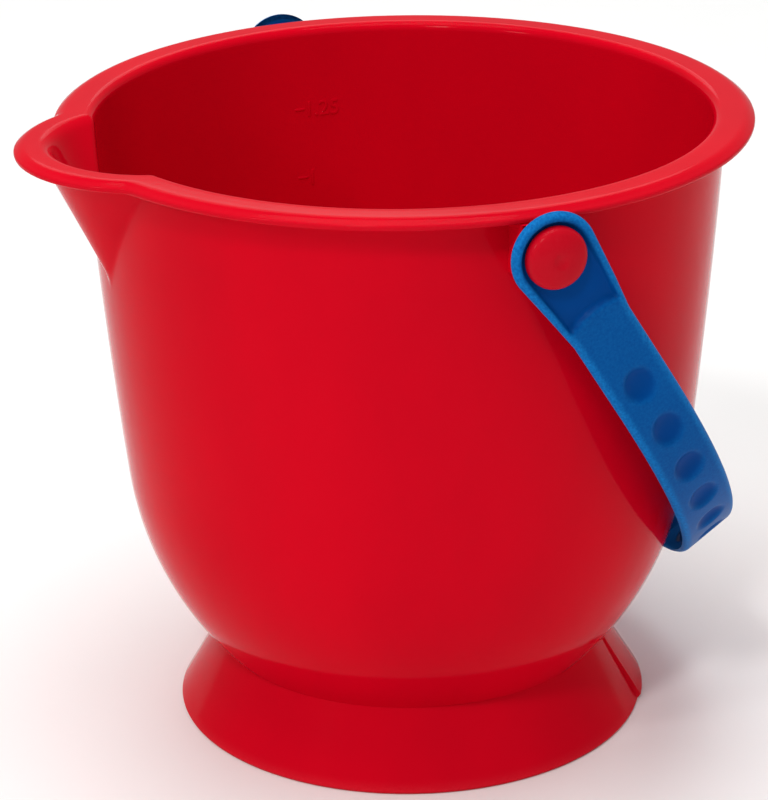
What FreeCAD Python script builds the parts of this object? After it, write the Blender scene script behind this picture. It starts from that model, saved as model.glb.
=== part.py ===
import FreeCAD, Part
import Sketcher
import os
import math
from FreeCAD import Vector, Rotation, Placement

# Sand bucket with a pouring spout, a flared foot and a hinged carry handle.
# Origin: centre of the foot's base ring. +Z up, the spout points along -X, the handle
# turns about an axis along Y and hangs down on the +X side. Millimetres.

os.makedirs("parts", exist_ok=True)
doc = FreeCAD.newDocument("sand_bucket")

# ---------------------------------------------------------------- driving dimensions
SIZES = {
    # bowl and rim
    "rim_height": 146.0,
    "rim_radius": 79.0,
    "rim_thick": 2.4,
    "rim_round": 1.9,
    "wall_thick": 2.8,
    "wall_top_radius": 72.6,
    "wall_barrel_radius": 1500.0,
    "shoulder_height": 61.1,
    "shoulder_radius": 65.6,
    "bowl_radius": 78.0,
    "floor_height": 26.0,
    "floor_thick": 2.8,
    "floor_radius": 49.23,
    "inner_round": 1.4,
    # foot
    "crease_height": 17.3,
    "crease_radius": 45.8,
    "foot_radius": 55.3,
    "foot_thick": 2.6,
    "foot_edge": 0.6,
    "foot_inner_top": 42.4,
    "panel_base_out": 1.1,
    "panel_top_out": 0.45,
    "panel_top": 16.4,
    "panel_low": 0.8,
    "panel_angle": 64.0,
    # spout
    "spout_centre": 58.4,
    "spout_rim_radius": 31.5,
    "spout_blend": 6.0,
    "spout_cone_centre": 57.5,
    "spout_cone_radius": 27.4,
    "spout_channel_radius": 25.0,
    "spout_tip_centre": 69.3,
    "spout_tip_height": 113.5,
    "spout_tip_radius": 0.6,
    "channel_tip_centre": 66.6,
    "channel_tip_radius": 0.4,
    # ear bosses on the wall
    "half_boss": 5.8,
    "boss_bottom": 131.0,
    "boss_face": 79.2,
    "boss_root": 70.9,
    "socket_depth": 7.4,
    # pivot
    "pivot_height": 137.0,
    "shank_radius": 3.5,
    "shank_chamfer": 0.6,
    "tip_gap": 0.4,
    "hinge_clearance": 0.06,
    "head_low": 3.1,
    "head_radius": 6.8,
    "head_skirt": 1.1,
    "head_edge_in": 1.3,
    "head_edge_up": 1.4,
    "head_edge_round": 1.9,
    "head_dome_round": 14.0,
    "head_top": 6.6,
    "head_dimple": 0.3,
    "head_dimple_radius": 1.8,
    "head_dimple_round": 5.0,
    # handle
    "hang_angle": 32.8,
    "ear_inner": 79.5,
    "ear_floor": 2.5,
    "ear_border": 1.6,
    "ear_cut": 84.6,
    "ear_radius": 9.7,
    "ear_floor_radius": 7.7,
    "ear_foot_down": 21.0,
    "half_floor": 6.5,
    "half_strap": 7.3,
    "half_thick": 2.1,
    "strap_round": 1.5,
    "strap_start": 17.0,
    "tongue_radius": 17.0,
    "arm_top_mid": 81.55,
    "arm_top_down": 12.0,
    "arm_end_mid": 78.54,
    "arm_end_down": 41.06,
    "shoulder_arc": 89.7,
    "crown_depth": 119.85,
    "dimples_each_side": 9,
    "dimple_pitch": 14.9,
    "dimple_round": 3.0,
    "dimple_deep": 1.5,
    "dimple_wide": 4.5,
    "dimple_long": 5.54,
    # volume marks
    "half_mark": 1.35,
    "mark_high": 0.7,
    "mark_root": 1.2,
    "mark_height_quarter": 51.2,
    "mark_height_half": 71.5,
    "mark_height_three_quarters": 90.4,
    "mark_height_one": 108.3,
    "mark_height_one_quarter": 125.5,
    "mark_reach_quarter": 60.6,
    "mark_reach_half": 63.6,
    "mark_reach_three_quarters": 65.5,
    "mark_reach_one": 67.1,
    "mark_reach_one_quarter": 68.4,
}

sheet = doc.addObject("Spreadsheet::Sheet", "Sizes")
for row, (alias, value) in enumerate(SIZES.items(), start=1):
    sheet.set("A%d" % row, alias)
    sheet.set("B%d" % row, str(value))
    sheet.setAlias("B%d" % row, alias)
doc.recompute()


def number(words):
    """Value of a sum of aliases and numbers, such as 'rim_height - rim_thick'."""
    total, sign = 0.0, 1.0
    for word in words.split():
        if word in "+-":
            sign = 1.0 if word == "+" else -1.0
        else:
            total += sign * (SIZES[word] if word in SIZES else float(word))
            sign = 1.0
    return total


def bound(words):
    """The same sum as an expression on the sheet."""
    return " ".join("Sizes." + word if word in SIZES else word for word in words.split())


# ---------------------------------------------------------------- sketch helpers
def origin_feature(body, role):
    return [item for item in body.Origin.OriginFeatures if item.Role == role][0]


def new_body(label):
    body = doc.addObject("PartDesign::Body", label)
    body.Label = label
    return body


def new_sketch(body, name, role, offset="0"):
    """Sketch on one of the body's own planes, moved along the plane's normal."""
    sketch = body.newObject("Sketcher::SketchObject", name)
    sketch.AttachmentSupport = [(origin_feature(body, role), "")]
    sketch.MapMode = "FlatFace"
    if offset != "0":
        sketch.AttachmentOffset = Placement(Vector(0, 0, number(offset)), Rotation())
        sketch.setExpression("AttachmentOffset.Base.z", bound(offset))
    return sketch


def tie(sketch, geo, pos, across, up):
    """Hold one point of the sketch at the given distances from its origin."""
    for kind, axis, words in (("DistanceX", -2, across), ("DistanceY", -1, up)):
        if words == "0":
            sketch.addConstraint(Sketcher.Constraint("PointOnObject", geo, pos, axis))
            continue
        index = sketch.addConstraint(
            Sketcher.Constraint(kind, -1, 1, geo, pos, number(words)))
        sketch.setExpression("Constraints[%d]" % index, bound(words))


def size(sketch, kind, geo, words):
    index = sketch.addConstraint(Sketcher.Constraint(kind, geo, number(words)))
    sketch.setExpression("Constraints[%d]" % index, bound(words))


def arc_between(start, end, radius, side):
    """Arc from start to end whose centre lies to the left (side=1) or right (-1)."""
    chord = end - start
    half = chord.Length / 2
    rise = math.sqrt(max(radius ** 2 - half ** 2, 0.0))
    normal = Vector(-chord.y, chord.x, 0).normalize()
    centre = start + chord * 0.5 + normal * (rise * side)
    first, last = start - centre, end - centre
    angles = [math.atan2(first.y, first.x), math.atan2(last.y, last.x)]
    if side < 0:
        angles.reverse()
    circle = Part.Circle(centre, Vector(0, 0, 1), radius)
    return Part.ArcOfCircle(circle, angles[0], angles[1])


def outline(sketch, corners, arcs=None):
    """Closed outline through named corners; arcs maps a side to (radius, centre side)."""
    arcs = arcs or {}
    points = [Vector(number(across), number(up), 0) for across, up in corners]
    count = len(points)
    ends = []
    for i in range(count):
        start, end = points[i], points[(i + 1) % count]
        if i in arcs:
            radius, side = arcs[i]
            geo = sketch.addGeometry(arc_between(start, end, number(radius), side), False)
            ends.append((geo, 1, 2) if side > 0 else (geo, 2, 1))
        else:
            geo = sketch.addGeometry(Part.LineSegment(start, end), False)
            ends.append((geo, 1, 2))
    for i in range(count):
        geo, _, last = ends[i]
        following, first, _ = ends[(i + 1) % count]
        sketch.addConstraint(Sketcher.Constraint("Coincident", geo, last, following, first))
    for i, (across, up) in enumerate(corners):
        tie(sketch, ends[i][0], ends[i][1], across, up)
    for i, (radius, _) in arcs.items():
        size(sketch, "Radius", ends[i][0], radius)


def circle(sketch, across, up, radius):
    geo = sketch.addGeometry(
        Part.Circle(Vector(number(across), number(up), 0), Vector(0, 0, 1), number(radius)))
    tie(sketch, geo, 3, across, up)
    size(sketch, "Radius", geo, radius)
    return geo


def revolve(body, kind, name, sketch, angle=None):
    feature = body.newObject("PartDesign::" + kind, name)
    feature.Profile = sketch
    feature.ReferenceAxis = (sketch, ["V_Axis"])
    if angle:
        feature.Midplane = True
        feature.setExpression("Angle", bound(angle))
    else:
        feature.Angle = 360.0
    doc.recompute()
    return feature


def extrude(body, kind, name, sketch, length, backwards=False):
    feature = body.newObject("PartDesign::" + kind, name)
    feature.Profile = sketch
    feature.Reversed = backwards
    feature.setExpression("Length", bound(length))
    doc.recompute()
    return feature


def loft(body, kind, name, first, second):
    feature = body.newObject("PartDesign::" + kind, name)
    feature.Profile = first
    feature.Sections = [second]
    feature.Ruled = True
    doc.recompute()
    return feature


def edges_where(feature, test):
    """Names of the feature's edges whose every vertex and middle pass the test."""
    names = []
    for i, edge in enumerate(feature.Shape.Edges, start=1):
        middle = edge.valueAt((edge.FirstParameter + edge.LastParameter) / 2)
        places = [vertex.Point for vertex in edge.Vertexes] + [middle]
        if all(test(place) for place in places):
            names.append("Edge%d" % i)
    return names


def dress(body, kind, name, base, test, words):
    """Fillet or chamfer on the base feature's edges that pass the test."""
    feature = body.newObject("PartDesign::" + kind, name)
    feature.Base = (base, edges_where(base, test))
    prop = "Radius" if kind == "Fillet" else "Size"
    feature.setExpression(prop, bound(words))
    doc.recompute()
    return feature


def on_rim_top(place):
    return abs(place.z - SIZES["rim_height"]) < 0.01


def in_flange_hole(place):
    return on_rim_top(place) and (
        math.hypot(place.x, place.y) < SIZES["wall_top_radius"]
        or math.hypot(place.x + SIZES["spout_centre"], place.y) < SIZES["spout_cone_radius"])


def on_rim_edge(place):
    return on_rim_top(place) and not in_flange_hole(place)


# ---------------------------------------------------------------- bucket body
# One injection moulding: bowl, rim flange, spout, ear bosses and hollow foot.
bucket = new_body("bucket_body")

# Bowl and foot as one turned solid: foot cone, sharp crease, round bowl, barrel wall.
profile = new_sketch(bucket, "bowl_profile", "XZ_Plane")
outline(profile, [
    ("0", "0"),
    ("foot_radius - foot_edge", "0"),
    ("foot_radius", "foot_edge"),
    ("crease_radius", "crease_height"),
    ("shoulder_radius", "shoulder_height"),
    ("wall_top_radius", "rim_height - rim_thick"),
    ("wall_top_radius", "rim_height - 0.5"),
    ("0", "rim_height - 0.5"),
], {1: ("foot_edge", 1), 3: ("bowl_radius", 1), 4: ("wall_barrel_radius", 1)})
revolve(bucket, "Revolution", "bowl_and_foot", profile)

# Spout: a slanting cone that runs down the wall to a point.
cone_foot = new_sketch(bucket, "spout_tip_circle", "XY_Plane", "spout_tip_height")
circle(cone_foot, "- spout_tip_centre", "0", "spout_tip_radius")
cone_top = new_sketch(bucket, "spout_top_circle", "XY_Plane", "rim_height - 1.0")
circle(cone_top, "- spout_cone_centre", "0", "spout_cone_radius")
loft(bucket, "AdditiveLoft", "spout_cone", cone_foot, cone_top)

# Rim flange: its outline follows the bowl and swings out round the spout.
flange = new_sketch(bucket, "flange_outline", "XY_Plane", "rim_height - rim_thick")
rim, lip = SIZES["rim_radius"], SIZES["spout_rim_radius"]
blend, out = SIZES["spout_blend"], SIZES["spout_centre"]
reach_rim, reach_lip = rim + blend, lip + blend
blend_x = -(reach_rim ** 2 + out ** 2 - reach_lip ** 2) / (2 * out)
blend_y = math.sqrt(reach_rim ** 2 - blend_x ** 2)
turn = math.atan2(blend_y, blend_x)
swing = math.atan2(blend_y, blend_x + out)


def flange_arc(across, up, radius, first, last):
    ring = Part.Circle(Vector(across, up, 0), Vector(0, 0, 1), radius)
    return flange.addGeometry(Part.ArcOfCircle(ring, first, last), False)


rim_arc = flange_arc(0, 0, rim, -turn, turn)
upper = flange_arc(blend_x, blend_y, blend, swing - math.pi, turn - math.pi)
lip_arc = flange_arc(-out, 0, lip, swing, 2 * math.pi - swing)
lower = flange_arc(blend_x, -blend_y, blend, math.pi - turn, math.pi - swing)
for geo, end, following, start in (
        (rim_arc, 2, upper, 2), (upper, 1, lip_arc, 1),
        (lip_arc, 2, lower, 2), (lower, 1, rim_arc, 1)):
    flange.addConstraint(Sketcher.Constraint("Tangent", geo, end, following, start))
tie(flange, rim_arc, 3, "0", "0")
tie(flange, lip_arc, 3, "- spout_centre", "0")
size(flange, "Radius", rim_arc, "rim_radius")
size(flange, "Radius", lip_arc, "spout_rim_radius")
size(flange, "Radius", upper, "spout_blend")
size(flange, "Radius", lower, "spout_blend")
flange_pad = extrude(bucket, "Pad", "rim_flange", flange, "rim_thick")
dress(bucket, "Fillet", "rim_outer_round", flange_pad, on_rim_edge, "rim_round")

# Ear bosses: flat pads on both sides that bring the pivots out to the rim's edge.
for side, plane_side in (("left", 1), ("right", -1)):
    boss = new_sketch(bucket, "boss_outline_" + side, "XZ_Plane",
                      "boss_root" if plane_side > 0 else "- boss_root")
    outline(boss, [
        ("- half_boss", "boss_bottom"),
        ("half_boss", "boss_bottom"),
        ("half_boss", "rim_height - rim_thick"),
        ("- half_boss", "rim_height - rim_thick"),
    ])
    extrude(bucket, "Pad", "ear_boss_" + side, boss, "boss_face - boss_root", plane_side < 0)

# Raised panel on the back of the foot cone.
panel = new_sketch(bucket, "foot_panel_section", "XZ_Plane")
outline(panel, [
    ("foot_radius - 1.5", "panel_low"),
    ("foot_radius + panel_base_out", "panel_low"),
    ("crease_radius + panel_top_out", "panel_top"),
    ("crease_radius - 1.2", "panel_top"),
])
revolve(bucket, "Revolution", "foot_panel", panel, "panel_angle")

# Inside of the bowl, offset from the outside by the wall's thickness.
cavity = new_sketch(bucket, "cavity_section", "XZ_Plane")
outline(cavity, [
    ("0", "floor_height"),
    ("floor_radius", "floor_height"),
    ("shoulder_radius - wall_thick", "shoulder_height"),
    ("wall_top_radius - wall_thick", "rim_height - rim_thick"),
    ("wall_top_radius - wall_thick", "rim_height + 1.0"),
    ("0", "rim_height + 1.0"),
], {1: ("bowl_radius - wall_thick", 1), 2: ("wall_barrel_radius - wall_thick", 1)})
revolve(bucket, "Groove", "cavity", cavity)

# Spout channel.
channel_foot = new_sketch(bucket, "channel_tip_circle", "XY_Plane", "spout_tip_height")
circle(channel_foot, "- channel_tip_centre", "0", "channel_tip_radius")
channel_top = new_sketch(bucket, "channel_top_circle", "XY_Plane", "rim_height + 0.5")
circle(channel_top, "- spout_cone_centre", "0", "spout_channel_radius")
loft(bucket, "SubtractiveLoft", "spout_channel", channel_foot, channel_top)

# Hollow under the foot.
hollow = new_sketch(bucket, "foot_hollow_section", "XZ_Plane")
outline(hollow, [
    ("0", "- 1.0"),
    ("foot_radius - foot_thick", "- 1.0"),
    ("foot_radius - foot_thick", "0"),
    ("foot_inner_top", "crease_height + 1.0"),
    ("foot_inner_top", "floor_height - floor_thick"),
    ("0", "floor_height - floor_thick"),
])
hollow_cut = revolve(bucket, "Groove", "foot_hollow", hollow)

# Blind sockets for the pivot pins.
for side, plane_side in (("left", 1), ("right", -1)):
    socket = new_sketch(bucket, "socket_circle_" + side, "XZ_Plane",
                        "boss_face" if plane_side > 0 else "- boss_face")
    circle(socket, "0", "pivot_height", "shank_radius")
    extrude(bucket, "Pocket", "pin_socket_" + side, socket, "socket_depth", plane_side < 0)
last_cut = bucket.Tip
dress(bucket, "Fillet", "inner_rim_round", last_cut, in_flange_hole, "inner_round")

# Volume marks: short raised bars inside the far wall, one for each quarter litre.
for name in ("quarter", "half", "three_quarters", "one", "one_quarter"):
    mark = new_sketch(bucket, "mark_outline_" + name, "XZ_Plane", "- mark_reach_" + name)
    outline(mark, [
        ("- half_mark", "mark_height_" + name),
        ("half_mark", "mark_height_" + name),
        ("half_mark", "mark_height_" + name + " + mark_high"),
        ("- half_mark", "mark_height_" + name + " + mark_high"),
    ])
    extrude(bucket, "Pad", "mark_" + name, mark, "mark_root", True)

# ---------------------------------------------------------------- carry handle
# One moulding, made in its own frame: pivot axis along Y through the origin, arch below.
handle = new_body("carry_handle")

# Middle line of the strap's one half: crown arc, shoulder arc and leaning arm.
arch = new_sketch(handle, "arch_line", "YZ_Plane")
arm_top = Vector(number("arm_top_mid"), -number("arm_top_down"), 0)
arm_end = Vector(number("arm_end_mid"), -number("arm_end_down"), 0)
inward = Vector(arm_end.y - arm_top.y, arm_top.x - arm_end.x, 0).normalize()
shoulder_centre = arm_end + inward * SIZES["shoulder_arc"]
crown_low = Vector(0, -SIZES["crown_depth"], 0)
gap = SIZES["shoulder_arc"] - (shoulder_centre.y - crown_low.y)
crown_radius = SIZES["shoulder_arc"] - (shoulder_centre.x ** 2 + gap ** 2) / (2 * gap)
crown_centre = Vector(0, crown_low.y + crown_radius, 0)
meet = math.atan2(crown_centre.y - shoulder_centre.y, crown_centre.x - shoulder_centre.x)
lean = math.atan2(-inward.y, -inward.x)
crown = arch.addGeometry(Part.ArcOfCircle(
    Part.Circle(crown_centre, Vector(0, 0, 1), crown_radius), -math.pi / 2, meet), False)
shoulder = arch.addGeometry(Part.ArcOfCircle(
    Part.Circle(shoulder_centre, Vector(0, 0, 1), SIZES["shoulder_arc"]), meet, lean), False)
arm = arch.addGeometry(Part.LineSegment(arm_end, arm_top), False)
arch.addConstraint(Sketcher.Constraint("Tangent", crown, 2, shoulder, 1))
arch.addConstraint(Sketcher.Constraint("Tangent", shoulder, 2, arm, 1))
arch.addConstraint(Sketcher.Constraint("PointOnObject", crown, 3, -2))
tie(arch, crown, 1, "0", "- crown_depth")
tie(arch, arm, 1, "arm_end_mid", "- arm_end_down")
tie(arch, arm, 2, "arm_top_mid", "- arm_top_down")
doc.recompute()

section = new_sketch(handle, "strap_section", "XZ_Plane")
outline(section, [
    ("strap_round - half_strap", "- crown_depth - half_thick"),
    ("half_strap - strap_round", "- crown_depth - half_thick"),
    ("half_strap", "- crown_depth - half_thick + strap_round"),
    ("half_strap", "- crown_depth + half_thick - strap_round"),
    ("half_strap - strap_round", "- crown_depth + half_thick"),
    ("strap_round - half_strap", "- crown_depth + half_thick"),
    ("- half_strap", "- crown_depth + half_thick - strap_round"),
    ("- half_strap", "- crown_depth - half_thick + strap_round"),
], {1: ("strap_round", 1), 3: ("strap_round", 1), 5: ("strap_round", 1), 7: ("strap_round", 1)})
strap = handle.newObject("PartDesign::AdditivePipe", "strap_half")
strap.Profile = section
strap.Spine = (arch, ["Edge1", "Edge2", "Edge3"])
doc.recompute()
mirrored = handle.newObject("PartDesign::Mirrored", "strap")
mirrored.Originals = [strap]
mirrored.MirrorPlane = (origin_feature(handle, "XZ_Plane"), [""])
handle.Tip = mirrored
doc.recompute()


def teardrop(sketch, radius, half_foot, foot_down, rise=None):
    """Round head about the pivot that narrows to a foot; rise bows the foot upwards."""
    far, low = number(half_foot), -number(foot_down)
    big = number(radius)
    slope = math.atan2(low, far)
    touch = slope + math.acos(big / math.hypot(far, low))
    head = sketch.addGeometry(Part.ArcOfCircle(
        Part.Circle(Vector(0, 0, 0), Vector(0, 0, 1), big), touch, math.pi - touch), False)
    right_top = Vector(big * math.cos(touch), big * math.sin(touch), 0)
    left_top = Vector(-right_top.x, right_top.y, 0)
    right_low, left_low = Vector(far, low, 0), Vector(-far, low, 0)
    right = sketch.addGeometry(Part.LineSegment(right_low, right_top), False)
    left = sketch.addGeometry(Part.LineSegment(left_top, left_low), False)
    if rise:
        bow = number(rise)
        foot = sketch.addGeometry(arc_between(right_low, left_low, bow, 1), False)
        size(sketch, "Radius", foot, rise)
    else:
        foot = sketch.addGeometry(Part.LineSegment(left_low, right_low), False)
    first, last = (2, 1) if rise else (1, 2)
    sketch.addConstraint(Sketcher.Constraint("Tangent", right, 2, head, 1))
    sketch.addConstraint(Sketcher.Constraint("Tangent", head, 2, left, 1))
    sketch.addConstraint(Sketcher.Constraint("Coincident", left, 2, foot, first))
    sketch.addConstraint(Sketcher.Constraint("Coincident", foot, last, right, 1))
    tie(sketch, head, 3, "0", "0")
    size(sketch, "Radius", head, radius)
    tie(sketch, right, 1, half_foot, "- " + foot_down)
    tie(sketch, left, 2, "- " + half_foot, "- " + foot_down)


# Ears: flat heads with a raised border round a sunk floor, flush with the strap outside.
for side, sign in (("left", 1), ("right", -1)):
    lead = "" if sign > 0 else "- "
    plate = new_sketch(handle, "ear_outline_" + side, "XZ_Plane", lead + "ear_inner")
    teardrop(plate, "ear_radius", "half_strap", "ear_foot_down")
    extrude(handle, "Pad", "ear_" + side, plate, "ear_floor + ear_border", sign < 0)
    sunk = new_sketch(handle, "ear_floor_outline_" + side, "XZ_Plane", lead + "ear_cut")
    teardrop(sunk, "ear_floor_radius", "half_floor", "strap_start", "tongue_radius")
    extrude(handle, "Pocket", "ear_floor_" + side, sunk, "ear_cut - ear_inner - ear_floor", sign < 0)
eyes = new_sketch(handle, "ear_hole_circle", "XZ_Plane")
circle(eyes, "0", "0", "shank_radius + hinge_clearance")
holes = handle.newObject("PartDesign::Pocket", "ear_holes")
holes.Profile = eyes
holes.Type = "ThroughAll"
holes.Midplane = True
doc.recompute()

# Oval finger dimples along the strap's outer face, evenly spaced about the crown.
crown_length = (crown_radius + SIZES["half_thick"]) * (meet + math.pi / 2)


def along_arch(distance):
    """Point on the strap's outer face and its outward direction, from the crown."""
    if distance < crown_length:
        radius, centre = crown_radius + SIZES["half_thick"], crown_centre
        angle = distance / radius - math.pi / 2
    else:
        radius, centre = SIZES["shoulder_arc"] + SIZES["half_thick"], shoulder_centre
        angle = min(meet + (distance - crown_length) / radius, lean)
    outward = Vector(math.cos(angle), math.sin(angle), 0)
    place = centre + outward * radius
    spare = distance - crown_length - (lean - meet) * radius
    if spare > 0:
        place = place + Vector(-outward.y, outward.x, 0) * spare
    return place, outward


for step in range(int(SIZES["dimples_each_side"])):
    place, outward = along_arch((step + 0.5) * SIZES["dimple_pitch"])
    for side, sign in (("left", -1), ("right", 1)):
        scoop = handle.newObject("PartDesign::SubtractiveEllipsoid", "dimple_%s_%d" % (side, step + 1))
        scoop.setExpression("Radius1", bound("dimple_round"))
        scoop.setExpression("Radius2", bound("dimple_wide"))
        scoop.setExpression("Radius3", bound("dimple_long"))
        middle = place + outward * (SIZES["dimple_round"] - SIZES["dimple_deep"])
        across = Vector(0, sign * outward.x, outward.y)
        scoop.Placement = Placement(
            Vector(0, sign * middle.x, middle.y), Rotation(Vector(0, 0, 1), across))
        doc.recompute()

turned = Rotation(Vector(0, -1, 0), SIZES["hang_angle"])
handle.Placement = Placement(Vector(0, 0, SIZES["pivot_height"]), turned)
handle.setExpression("Placement.Base.z", bound("pivot_height"))
handle.setExpression("Placement.Rotation.Angle", bound("hang_angle"))
doc.recompute()

# ---------------------------------------------------------------- pivot pins
# Push-in pins: plain shank in the boss socket, domed head outside the ear.
for side, turn_x in (("left", 90), ("right", -90)):
    pin = new_body("pivot_pin_" + side)
    half = new_sketch(pin, "pin_section_" + side, "XZ_Plane")
    outline(half, [
        ("0", "tip_gap - socket_depth"),
        ("shank_radius - shank_chamfer", "tip_gap - socket_depth"),
        ("shank_radius", "tip_gap - socket_depth + shank_chamfer"),
        ("shank_radius", "head_low"),
        ("head_radius", "head_low"),
        ("head_radius", "head_low + head_skirt"),
        ("head_radius - head_edge_in", "head_low + head_skirt + head_edge_up"),
        ("head_dimple_radius", "head_top"),
        ("0", "head_top - head_dimple"),
    ], {5: ("head_edge_round", 1), 6: ("head_dome_round", 1), 7: ("head_dimple_round", -1)})
    revolve(pin, "Revolution", "pin_" + side, half)
    reach = SIZES["boss_face"] * (-1 if side == "left" else 1)
    pin.Placement = Placement(
        Vector(0, reach, SIZES["pivot_height"]), Rotation(Vector(1, 0, 0), turn_x))
    pin.setExpression("Placement.Base.z", bound("pivot_height"))
    pin.setExpression("Placement.Base.y", bound("- boss_face" if side == "left" else "boss_face"))
doc.recompute()

# ---------------------------------------------------------------- checks and export
for item in doc.Objects:
    if "Invalid" in item.State or "Error" in item.State:
        raise RuntimeError(item.Label + " failed: " + ", ".join(item.State))
for label in ("bucket_body", "carry_handle", "pivot_pin_left", "pivot_pin_right"):
    shape = doc.getObject(label).Shape
    if shape.isNull() or not shape.isValid() or len(shape.Solids) != 1:
        raise RuntimeError(label + " is not one valid solid")
    shape.exportStep("parts/%s.step" % label)
    print(label, round(shape.Volume / 1000.0, 2), "cm3")
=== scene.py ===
# %% [markdown]
# # A toy sand bucket, piece by piece
# A toy pail is four mouldings: the bucket itself (bowl, rim, spout and foot in one shot of
# plastic), a carry handle, and two short pins that the handle turns on. Each is rebuilt here as
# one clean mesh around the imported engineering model, which stays the measure for every place
# and size. The engineering solids are hidden where a finer mesh stands for them.

# %% The frame and the tools
import math

import bmesh
import bpy
from mathutils import Matrix, Vector


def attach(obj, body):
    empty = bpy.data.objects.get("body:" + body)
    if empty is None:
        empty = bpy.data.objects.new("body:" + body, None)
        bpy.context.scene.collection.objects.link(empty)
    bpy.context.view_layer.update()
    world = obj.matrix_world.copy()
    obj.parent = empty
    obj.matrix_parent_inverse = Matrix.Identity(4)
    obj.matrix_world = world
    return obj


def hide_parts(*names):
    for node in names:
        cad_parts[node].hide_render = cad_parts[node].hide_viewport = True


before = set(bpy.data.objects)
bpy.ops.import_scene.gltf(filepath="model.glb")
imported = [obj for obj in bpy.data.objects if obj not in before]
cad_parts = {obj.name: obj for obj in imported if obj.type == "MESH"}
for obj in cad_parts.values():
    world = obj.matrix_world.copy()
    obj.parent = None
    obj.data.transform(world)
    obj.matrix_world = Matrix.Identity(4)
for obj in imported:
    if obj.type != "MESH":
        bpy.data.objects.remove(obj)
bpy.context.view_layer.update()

MM = 0.001

# %% [markdown]
# ## Two small habits
# Everything is modelled in millimetres, because the real drawing would be, and scaled to metres
# at the very end. A finished mesh gets its loose doubles merged, its normals turned outwards and
# its real corners marked sharp, so that smooth shading rounds only what is round.

# %% Turning a bmesh into a piece
def finished(bm, name, material, sharp_degrees=34.0):
    """Weld, orient, scale to metres and link a bmesh as an object at the origin."""
    bmesh.ops.remove_doubles(bm, verts=bm.verts, dist=0.0015)
    bmesh.ops.recalc_face_normals(bm, faces=bm.faces)
    for edge in bm.edges:
        if len(edge.link_faces) == 2:
            edge.smooth = edge.calc_face_angle() < math.radians(sharp_degrees)
    open_edges = sum(1 for edge in bm.edges if edge.is_boundary)
    bmesh.ops.scale(bm, vec=(MM, MM, MM), verts=bm.verts)
    mesh = bpy.data.meshes.new(name)
    bm.to_mesh(mesh)
    bm.free()
    mesh.polygons.foreach_set("use_smooth", [True] * len(mesh.polygons))
    piece = bpy.data.objects.new(name, mesh)
    bpy.context.scene.collection.objects.link(piece)
    piece.data.materials.append(material)
    print(name, len(mesh.polygons), "faces,", open_edges, "open edges")
    return piece


def smoothstep(low, high, value):
    """0 below low, 1 above high, and an S-curve between them."""
    share = min(max((value - low) / (high - low), 0.0), 1.0)
    return share * share * (3.0 - 2.0 * share)


def soft_max(a, b, soft):
    """The larger of two numbers, with the corner between them rounded over about soft."""
    return 0.5 * (a + b + math.sqrt((a - b) ** 2 + soft ** 2))


# %% [markdown]
# ## Colours and nodes
# Hex colours are display values. Cycles works with linear light, so one function undoes the
# display curve. A second one adds a node with its settings and its links in a single line, which
# keeps a material readable as a recipe from top to bottom.

# %% One function for colour, one for nodes
def linear(hex_colour):
    """'#rrggbb' as display values to a linear RGBA."""
    channels = [int(hex_colour[i:i + 2], 16) / 255.0 for i in (1, 3, 5)]
    return [c / 12.92 if c <= 0.04045 else ((c + 0.055) / 1.055) ** 2.4 for c in channels] + [1.0]


def node(material, kind, inputs=None, **settings):
    """Add a node; inputs maps a socket's name or number to a value or another socket."""
    made = material.node_tree.nodes.new(kind)
    for key, value in settings.items():
        setattr(made, key, value)
    for key, value in (inputs or {}).items():
        if isinstance(value, bpy.types.NodeSocket):
            material.node_tree.links.new(value, made.inputs[key])
        else:
            made.inputs[key].default_value = value
    return made
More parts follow.
